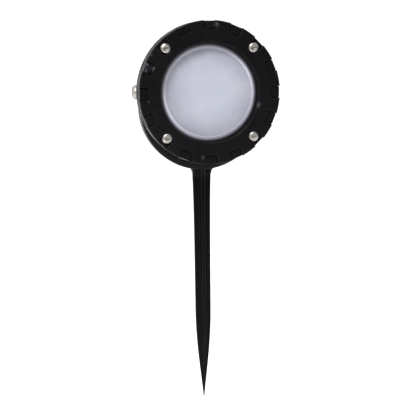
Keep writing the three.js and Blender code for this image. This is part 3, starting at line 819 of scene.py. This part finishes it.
# Each screw: head radius, head height, shank radius, length, socket across its flats, thread pitch.
BEZEL_SCREW = (2.85, 1.65, 1.5, 12, 2, 0.5)
PIVOT_SCREW = (4, 2.2, 2, 11.6, 2.5, 0.7)
BOARD_SCREW = (2.6, 1.4, 1.5, 9, 2, 0.5)
DRIVER_SCREW = (2.2, 1.3, 1.1, 5.5, 1.5, 0.4)
BEZEL_INSERT = (1.8, 2.5)
PIVOT_INSERT = (2.3, 3)
WASHER_BORE = 2.3
WASHER_THICKNESS = 0.8
PIVOT_HOLE = 2.4
M3_HOLE = 1.8


def screw(head_radius, head_height, shank_radius, length, across, pitch):
    """A button-head screw with a hexagon socket and a thread, its head towards -Y and its seat at 0."""
    crown = -head_height
    flat = 0.46 * head_radius
    bottom = crown + 0.62 * head_height
    dome = 0.86 * head_height
    profile = [
        (0, bottom + 0.12 * across), (socket_radius(across), bottom), (socket_radius(across), crown + 0.12),
        (socket_radius(across + 0.2), crown + 0.02), (flat, crown),
    ]
    turns = [math.radians(a) for a in (18, 36, 54, 70, 82)]
    profile += [(flat + (head_radius - flat) * math.sin(t), crown + dome * (1 - math.cos(t))) for t in turns]
    profile += [(head_radius, -0.07 * head_height), (head_radius - 0.08, 0), (shank_radius + 0.15, 0),
                (shank_radius, 0.15)]
    thread_from = 0.25 * length
    count = int((length - thread_from - 0.5) / pitch)
    for k in range(count):
        y = thread_from + k * pitch
        profile += [(shank_radius, y), (shank_radius, y + 0.2 * pitch),
                    (shank_radius - 0.33 * pitch, y + 0.6 * pitch)]
    profile += [(shank_radius, length - 0.45), (shank_radius - 0.4, length), (0, length)]
    return lathe(profile, 48)


def place_screw(node, bm, turn, place, lay_over=0):
    """Turns a screw about its own axis, lays it over towards one side if asked, and puts it in place."""
    matrix = Matrix.Translation(place) @ Matrix.Rotation(lay_over, 4, "Z") @ Matrix.Rotation(turn, 4, "Y")
    bmesh.ops.transform(bm, matrix=matrix, verts=bm.verts)
    node_piece(node, bm, "stainless")


def knurled(radius):
    teeth, depth = 24, 0.12
    return lambda turn: radius - depth * (0.5 + 0.5 * math.cos(teeth * turn))


def insert(inner, outer, length):
    """A thread insert with two knurled bands, from 0 to its length along Y."""
    third = length / 3
    band = knurled(outer)
    return lathe([
        (inner, 0), (outer - 0.25, 0), (band, 0.25), (band, third - 0.2), (outer - 0.4, third),
        (outer - 0.4, 2 * third), (band, 2 * third + 0.2), (band, length - 0.25), (outer - 0.25, length),
        (inner, length),
    ], 96)


BEZEL_SCREW_TURNS = (0.35, 0.12, 0.80, 0.55)
PIVOT_SCREW_TURN = 0.3


def bezel_fasteners():
    insert_low, insert_high = span("bezel_insert_1", "y")
    for i, (notch, turn) in enumerate(zip(SCREW_NOTCHES, BEZEL_SCREW_TURNS), start=1):
        x, _, z = screw_place(notch)
        seat = FACE_Y + SCREW_NOTCH_DEPTH - GAP
        place_screw(f"bezel_screw_{i}", screw(*BEZEL_SCREW), turn, (x, seat, z))
        bm = insert(*BEZEL_INSERT, insert_high - insert_low)
        bmesh.ops.translate(bm, vec=(x, insert_low, z), verts=bm.verts)
        node_piece(f"bezel_insert_{i}", bm, "brass")


def pivot_fasteners():
    for name, side in zip(("left", "right"), SIDES):
        flat_ring(f"pivot_washer_{name}", WASHER_BORE, 0.15, "stainless", "x")
        seat = (side * (ARM_OUTER_X + 2 * GAP + WASHER_THICKNESS), 0, 0)
        place_screw(f"pivot_screw_{name}", screw(*PIVOT_SCREW), PIVOT_SCREW_TURN, seat, side * math.pi / 2)
        flat_ring(f"friction_washer_{name}", WASHER_BORE, 0.2, "nylon", "x")
        thread = f"pivot_insert_{name}"
        low, high = span(thread, "x")
        bm = insert(*PIVOT_INSERT, high - low)
        matrix = Matrix.Translation((low, 0, 0)) @ Matrix.Rotation(-math.pi / 2, 4, "Z")
        bmesh.ops.transform(bm, matrix=matrix, verts=bm.verts)
        node_piece(thread, bm, "brass")


# ---------------------------------------------------------------- fork and spike
BEND_RADIUS = ARM_OUTER_X - ARM_THICKNESS / 2
STRAIGHT = STRAP_HALF_WIDTH + BEND_DROP


def strap_plan():
    """One half of the flattened strap's outline as (along, half width), from end to end."""
    total = 2 * STRAIGHT + math.pi * BEND_RADIUS
    end = [(STRAP_HALF_WIDTH * (1 - math.cos(t)), max(0.05, STRAP_HALF_WIDTH * math.sin(t)))
           for t in arc(math.pi / 2, 10)]
    steps = 76
    free = total - 2 * STRAP_HALF_WIDTH
    middle = [(STRAP_HALF_WIDTH + free * k / steps, STRAP_HALF_WIDTH) for k in range(1, steps)]
    return end + middle + [(total - s, w) for s, w in reversed(end)]


def bent(along, across, out):
    """A point of the flattened strap, bent round to the fork: out is outwards from its middle."""
    radius = BEND_RADIUS + out
    bend = math.pi * BEND_RADIUS
    if along < STRAIGHT:
        return Vector((-radius, across, STRAP_HALF_WIDTH - along))
    if along > STRAIGHT + bend:
        return Vector((radius, across, along - STRAIGHT - bend - BEND_DROP))
    turn = math.pi + (along - STRAIGHT) / BEND_RADIUS
    return Vector((radius * math.cos(turn), across, radius * math.sin(turn) - BEND_DROP))


def strap():
    half = strap_plan()
    outline = [Vector((s, -w)) for s, w in half] + [Vector((s, w)) for s, w in reversed(half)]
    bm, rings = loft([[bent(p.x, p.y, out) for p in inset(outline, shrink)]
                      for shrink, out in levels(-ARM_THICKNESS / 2, ARM_THICKNESS / 2, 0.55)])
    for ring in (rings[0], rings[-1]):
        for k in range(len(half) - 1):
            bm.faces.new([ring[k], ring[k + 1], ring[-2 - k], ring[-1 - k]])
    return bm


def spike_taper(depth):
    """How wide the spike is at a share of its length below the soil line: a slight taper down the
    shank, and a long rounded point with a blunt tip."""
    if depth <= 0:
        return 1
    shank = 1 - 0.11 * (1 - math.exp(-depth * 9)) - 0.07 * depth
    point = min(1, max(0, (1 - depth) / POINT_SHARE))
    rounding = math.sin(point * math.pi / 2) ** 1.1
    return shank * (TIP_SHARE + (1 - TIP_SHARE) * rounding)


def spike():
    """Four ribs in a cross, their tips and roots rounded, drawn out to a point."""
    tip, root, end = SPIKE_WIDTH / 2, RIB_ROOT / 2, RIB_TIP / 2
    outline = []
    for turn in range(4):
        corners = [(tip, end, 0.5), (root, root, 1.1), (end, tip, 0.5)]
        cos, sin = round(math.cos(turn * math.pi / 2)), round(math.sin(turn * math.pi / 2))
        outline += [(x * cos - y * sin, x * sin + y * cos, radius) for x, y, radius in corners]
    section = rounded(outline)
    top = ARM_THICKNESS - 0.6 - (ARM_OUTER_X + BEND_DROP)
    tip_z = -SPIKE_LENGTH - PIVOT_Z
    rings = []
    for drop in arc(tip_z - top, 90):
        z = top + drop
        scale = spike_taper(-(z + PIVOT_Z) / SPIKE_LENGTH)
        deep = scale * RIB_DEPTH / SPIKE_WIDTH
        rings.append([(p.x * scale, p.y * deep, z) for p in section])
    return solid_loft(rings)


def web(side):
    """Rounds the corner between one side rib and the underside of the fork."""
    reach, drop, overlap, edge = 3.2, 2.6, 1.6, 0.5
    rib = SPIKE_WIDTH / 2
    half = RIB_ROOT / 2 + 0.9

    def underside(x):
        return Vector((x, -BEND_DROP - math.sqrt(ARM_OUTER_X ** 2 - x ** 2)))

    top = -BEND_DROP - ARM_OUTER_X + overlap
    start = Vector((rib, -BEND_DROP - ARM_OUTER_X - drop))
    plan = [Vector((rib - overlap, top)), Vector((rib - overlap, start.y))]
    plan += bend_to(start, underside(rib), underside(rib + reach), 10) + [Vector((rib + reach, top))]
    return solid_loft([[(side * p.x, y, p.y) for p in inset(plan, shrink)]
                       for shrink, y in levels(-half, half, edge, 2)])


def fork_stake():
    body = mesh_object("fork_stake_fine", strap())
    others = [mesh_object("spike", spike()), joined("webs", [web(side) for side in SIDES])]
    boolean(body, others, "UNION")
    hole = mesh_object("pivot_hole", rod(PIVOT_HOLE, -ARM_OUTER_X - 1, ARM_OUTER_X + 1, "x"))
    boolean(body, [hole], "DIFFERENCE")
    finish_piece(body, "fork_stake", "fork_plastic", body="stake")


# ---------------------------------------------------------------- cable gland
CABLE_RADIUS = 3.2
BUSH_SEAT = 5.0
GLAND_BORE = 4


def spanner_flats(piece, low, high):
    """Cuts a gland piece to its hexagon across the flats."""
    outline = hexagon(GLAND_ACROSS, 0.6)
    boolean(piece, [mesh_object("prism", prism(outline, low - 1, high + 1, 0))], "INTERSECT")


def gland():
    flat_ring("gland_seal", GLAND_HOLE, 0.25, "rubber")

    tube_front, tube_back = span("gland_body", "y")
    hex_front = span("gland_seal", "y")[1] + GAP
    hex_back = hex_front + 3.6
    nut_front, nut_back = span("gland_nut", "y")
    thread = GLAND_HOLE - GAP
    corner = GLAND_ACROSS / math.sqrt(3)
    body = mesh_object("gland_body_fine", lathe(rounded([
        (GLAND_BORE, tube_front, 0.3), (thread, tube_front, 0.4), (thread, hex_front, 0.1),
        (corner - 0.7, hex_front, 0.2), (corner, hex_front + 0.6, 0.2), (corner, hex_back - 0.6, 0.2),
        (corner - 0.7, hex_back, 0.2), (thread, hex_back, 0.1), (thread, tube_back, 0.4),
        (BUSH_SEAT, tube_back, 0.2), (BUSH_SEAT, nut_front + 2, 0.1), (GLAND_BORE, nut_front + 2, 0.1),
    ]), 96))
    spanner_flats(body, tube_front, tube_back)
    finish_piece(body, "gland_body", "housing_plastic")

    low, high = span("gland_bush", "y")
    bush = span("gland_bush", "x")[1]
    bm = lathe(rounded([
        (CABLE_RADIUS, low, 0.2), (bush, low, 0.3), (bush, high - 1.2, 0.4), (bush - 0.9, high, 0.3),
        (CABLE_RADIUS, high, 0.3),
    ]), 64)
    node_piece("gland_bush", bm, "rubber")

    hex_end = nut_front + 5
    nut = mesh_object("gland_nut_fine", lathe(rounded([
        (0, nut_front, 0), (corner - 0.7, nut_front, 0), (corner, nut_front + 0.7, 0.2),
        (corner, hex_end, 0.3), (8.4, hex_end + 0.6, 0.4), (7.9, nut_back - 2.6, 1.2),
        (6.6, nut_back - 0.7, 0.8), (5.2, nut_back, 0.3), (0, nut_back, 0),
    ]), 96))
    cavity = lathe([
        (0, nut_front - 1), (thread + GAP, nut_front - 1), (thread + GAP, nut_front + 6.4),
        (BUSH_SEAT, nut_front + 6.4), (BUSH_SEAT, nut_front + 7.6), (GLAND_BORE, nut_front + 9.1),
        (GLAND_BORE, nut_back + 1), (0, nut_back + 1),
    ], 64)
    spanner_flats(nut, nut_front, nut_back)
    boolean(nut, [mesh_object("cavity", cavity)], "DIFFERENCE")
    finish_piece(nut, "gland_nut", "housing_plastic")


# ---------------------------------------------------------------- light engine and driver
LEAD_RADIUS = 0.8
LEAD_FOOT = (3, 9.5)
LEAD_TOP = (4, 11)


def with_holes(node, bm, holes, material):
    """Cuts holes through a solid and finishes it as its node's piece."""
    body = mesh_object(f"{node}_fine", bm)
    boolean(body, [joined("holes", holes)], "DIFFERENCE")
    finish_piece(body, node, material)


def post_holes():
    return [rod(M3_HOLE, -20, 0, centre=(0, 0, side * POST_Z), segments=32) for side in SIDES]


def light_engine():
    low, high = span("reflector", "y")
    wall, throat, mouth = 1.2, 6.2, span("reflector", "x")[1] - 0.4
    bm = lathe(rounded([
        (throat, high, 0.2), (throat + wall, high, 0.2), (throat + wall + 0.3, high - 1.5, 0.8),
        (mouth + 0.4, low + 1.6, 0.4), (mouth + 0.4, low, 0.2), (mouth - 0.8, low, 0.2),
        (throat, high - 1.8, 0.8),
    ]), 128)
    node_piece("reflector", bm, "white_plastic")

    low, high = span("led_emitter", "y")
    sides = span("led_emitter", "x")
    base = mesh_object("led_emitter_fine", prism(rectangle(sides, sides), high - 1, high, 0.12))
    radius, foot = 2.6, high - 1.2
    dome = [(0, high - 0.5), (radius, high - 0.5)]
    dome += [(radius * math.cos(t), foot - (foot - low) * math.sin(t)) for t in arc(math.pi / 2, 8)[:-1]]
    boolean(base, [mesh_object("dome", lathe(dome + [(0, low)], 48))], "UNION")
    finish_piece(base, "led_emitter", "emitter")

    low, high = span("led_board", "y")
    disc = rod(span("led_board", "x")[1], low, high, corner=0.1, segments=96)
    with_holes("led_board", disc, post_holes(), "board_white")

    low, high = span("heat_plate", "y")
    disc = rod(span("heat_plate", "x")[1], low, high, corner=0.25, segments=96)
    lead_holes = [rod(2 * LEAD_RADIUS, -20, 0, centre=(side * LEAD_TOP[0], 0, LEAD_TOP[1]), segments=32)
                  for side in SIDES]
    with_holes("heat_plate", disc, post_holes() + lead_holes, "aluminium")

    seat = span("led_board", "y")[0] - GAP
    for i, side in enumerate(SIDES, start=1):
        place_screw(f"board_screw_{i}", screw(*BOARD_SCREW), 0.4 * i, (0, seat, side * POST_Z))


def round_part(node):
    """The front, back, radius and centre of an upright round part on the driver board."""
    low, high = span(node, "y")
    (x0, x1), (z0, z1) = span(node, "x"), span(node, "z")
    return low, high, (x1 - x0) / 2, ((x0 + x1) / 2, 0, (z0 + z1) / 2)


def driver():
    front, back = span("driver_board", "y")
    half_x, half_z = span("driver_board", "x")[1], span("driver_board", "z")[1]
    plate = prism(rectangle((-half_x, half_x), (-half_z, half_z), 1.0), front, back, 0.1)
    holes = [rod(1.5, front - 1, back + 1, centre=(side * DRIVER_SCREW_X, 0, 0), segments=32)
             for side in SIDES]
    with_holes("driver_board", plate, holes, "board_green")
    for i, side in enumerate(SIDES, start=1):
        place = (side * DRIVER_SCREW_X, front - GAP, 0)
        place_screw(f"driver_screw_{i}", screw(*DRIVER_SCREW), 0.5 * i, place)

    low, high, r, centre = round_part("driver_capacitor")
    bm = lathe(rounded([
        (0, high, 0), (r, high, 0.3), (r, high - 1, 0.1), (r - 0.2, high - 1.4, 0.1), (r, high - 1.8, 0.2),
        (r, low + 0.1, 0.4), (r - 0.45, low, 0.1), (r - 0.6, low + 0.15, 0.1), (0, low + 0.15, 0),
    ]), 48, centre=centre)
    node_piece("driver_capacitor", bm, "capacitor")

    low, high, r, centre = round_part("driver_inductor")
    winding = [(r - 0.8 + 0.12 * (k % 2), high - 1.3 - 0.12 * k) for k in range(24)]
    bm = lathe([
        (0, high), (r - 0.2, high), (r, high - 0.2), (r, high - 0.9), (r - 0.8, high - 1.1), *winding,
        (r - 0.8, low + 1.1), (r, low + 0.9), (r, low + 0.2), (r - 0.2, low), (0, low),
    ], 48, centre=centre)
    node_piece("driver_inductor", bm, "ferrite")

    low, high = span("driver_chip", "y")
    plan = rectangle(span("driver_chip", "x"), span("driver_chip", "z"), 0.15)
    node_piece("driver_chip", prism(plan, low, high, 0.15), "chip")


def tube(path, radius):
    """A round wire along a path of points, its ends closed."""
    turns = arc(2 * math.pi, 16)[:-1]
    rings = []
    for i, point in enumerate(path):
        tangent = (path[min(i + 1, len(path) - 1)] - path[max(i - 1, 0)]).normalized()
        side = tangent.cross(Vector((1, 0, 0))).normalized()
        up = side.cross(tangent)
        rings.append([point + (side * math.cos(t) + up * math.sin(t)) * radius for t in turns])
    return solid_loft(rings)


def leads():
    """Each wire stands up from the driver, leans over and ends in its hole in the heat plate. It is a
    Catmull-Rom curve through its corners."""
    for node, side, material in (("lead_red", 1, "red_wire"), ("lead_black", -1, "black_wire")):
        low, high = span(node, "y")
        corners = [Vector((side * x, y, z)) for (x, z), y in (
            (LEAD_FOOT, high), (LEAD_FOOT, high - 2.5), (LEAD_TOP, low + 5.5), (LEAD_TOP, low))]
        path = []
        for i in range(3):
            p0, p1 = corners[max(i - 1, 0)], corners[i]
            p2, p3 = corners[i + 1], corners[min(i + 2, 3)]
            for k in range(6):
                t = k / 6
                path.append(0.5 * (2 * p1 + (p2 - p0) * t + (2 * p0 - 5 * p1 + 4 * p2 - p3) * t * t
                                   + (3 * p1 - p0 - 3 * p2 + p3) * t ** 3))
        path.append(corners[-1])
        node_piece(node, tube(path, LEAD_RADIUS), material)


front_ring()
lens()
lens_gasket()
housing()
bezel_fasteners()
pivot_fasteners()
fork_stake()
gland()
light_engine()
driver()
leads()


# ---------------------------------------------------------------- camera
YAW, PITCH, ROLL = math.radians(10.88), math.radians(9.46), math.radians(-0.62)
CAMERA_AT = Vector((-92.3, -500.1, 64.1)) * MM
FOCAL_LENGTH = 77.88
SENSOR_WIDTH = 36
SHIFT = (-0.0009, 0.0009)


def make_camera():
    """A camera turned right by YAW from +Y, tipped down by PITCH and rolled by ROLL."""
    level = Vector((math.sin(YAW), math.cos(YAW), 0))
    side = Vector((math.cos(YAW), -math.sin(YAW), 0))
    forward = level * math.cos(PITCH) - Vector((0, 0, math.sin(PITCH)))
    above = Vector((0, 0, math.cos(PITCH))) + level * math.sin(PITCH)
    right = side * math.cos(ROLL) + above * math.sin(ROLL)
    up = above * math.cos(ROLL) - side * math.sin(ROLL)
    data = bpy.data.cameras.new("camera")
    data.lens = FOCAL_LENGTH
    data.sensor_width = SENSOR_WIDTH
    data.shift_x, data.shift_y = SHIFT
    data.clip_start = 0.01
    data.clip_end = 50
    camera = new_object("camera", data)
    camera.matrix_world = Matrix.Translation(CAMERA_AT) @ Matrix((right, up, -forward)).transposed().to_4x4()
    bpy.context.scene.camera = camera


# ---------------------------------------------------------------- studio
FLOOR_GLOW = 0.45


def make_floor():
    """A white sweep: flat under the light, then curved up into a wall far behind it."""
    half_width, front, curve_from, bend, top = 3.0, -0.55, 1.1, 1.0, 2.6
    profile = [(front + (curve_from - front) * k / 6, 0) for k in range(6)]
    profile += [(curve_from + bend * math.sin(t), bend * (1 - math.cos(t))) for t in arc(math.pi / 2, 16)]
    profile += [(curve_from + bend, bend + (top - bend) * k / 3) for k in (1, 2, 3)]
    bm = bmesh.new()
    rows = [[bm.verts.new((half_width * (k / 4 - 1), y, z)) for k in range(9)] for y, z in profile]
    for a, b in zip(rows, rows[1:]):
        join_rings(bm, a, b, closed=False)
    mesh = new_mesh("floor", bm)
    mesh.shade_smooth()
    floor = new_object("floor", mesh)
    floor.location = (0, 0, -(SPIKE_LENGTH + 1) * MM)
    s = Surface("floor_paper")
    paper = s.blend(s.noise(40, 4), (0.88, 0.88, 0.88), (0.92, 0.92, 0.92))
    s.set(Base_Color=paper, Roughness=0.9, Emission_Color=paper, Emission_Strength=FLOOR_GLOW)
    s.set(Specular_IOR_Level=0.1)
    mesh.materials.append(s.material)


def make_world():
    """White on all sides and above, darker in front, and evenly pale where the camera sees it."""
    world = bpy.data.worlds.new("studio")
    bpy.context.scene.world = world
    world.use_nodes = True
    tree = world.node_tree
    tree.nodes.clear()
    new = tree.nodes.new
    join = tree.links.new
    where = new("ShaderNodeTexCoord")
    split = new("ShaderNodeSeparateXYZ")
    join(where.outputs["Generated"], split.inputs[0])
    front = new("ShaderNodeMapRange")
    front.interpolation_type = "SMOOTHSTEP"
    put(front, From_Min=-0.75, From_Max=-0.1, To_Min=0.10, To_Max=1.0)
    join(split.outputs["Y"], front.inputs["Value"])
    lit = new("ShaderNodeBackground")
    put(lit, Color=(1, 1, 1, 1))
    join(front.outputs["Result"], lit.inputs["Strength"])
    seen = new("ShaderNodeBackground")
    put(seen, Color=(1, 1, 1, 1))
    path = new("ShaderNodeLightPath")
    mix = new("ShaderNodeMixShader")
    output = new("ShaderNodeOutputWorld")
    join(path.outputs["Is Camera Ray"], mix.inputs[0])
    join(lit.outputs[0], mix.inputs[1])
    join(seen.outputs[0], mix.inputs[2])
    join(mix.outputs[0], output.inputs[0])


def make_key_light():
    """A softbox above and to the left of the camera, aimed at the head."""
    data = bpy.data.lights.new("key", "AREA")
    data.shape = "RECTANGLE"
    data.size, data.size_y = 0.5, 0.4
    data.energy = 16
    lamp = new_object("key", data)
    lamp.location = (-0.45, -0.75, 0.85)
    lamp.rotation_euler = (Vector((0, 0, PIVOT_Z * MM)) - lamp.location).to_track_quat("-Z", "Y").to_euler()


make_camera()
make_floor()
make_world()
make_key_light()
bpy.context.scene.view_settings.view_transform = "Standard"
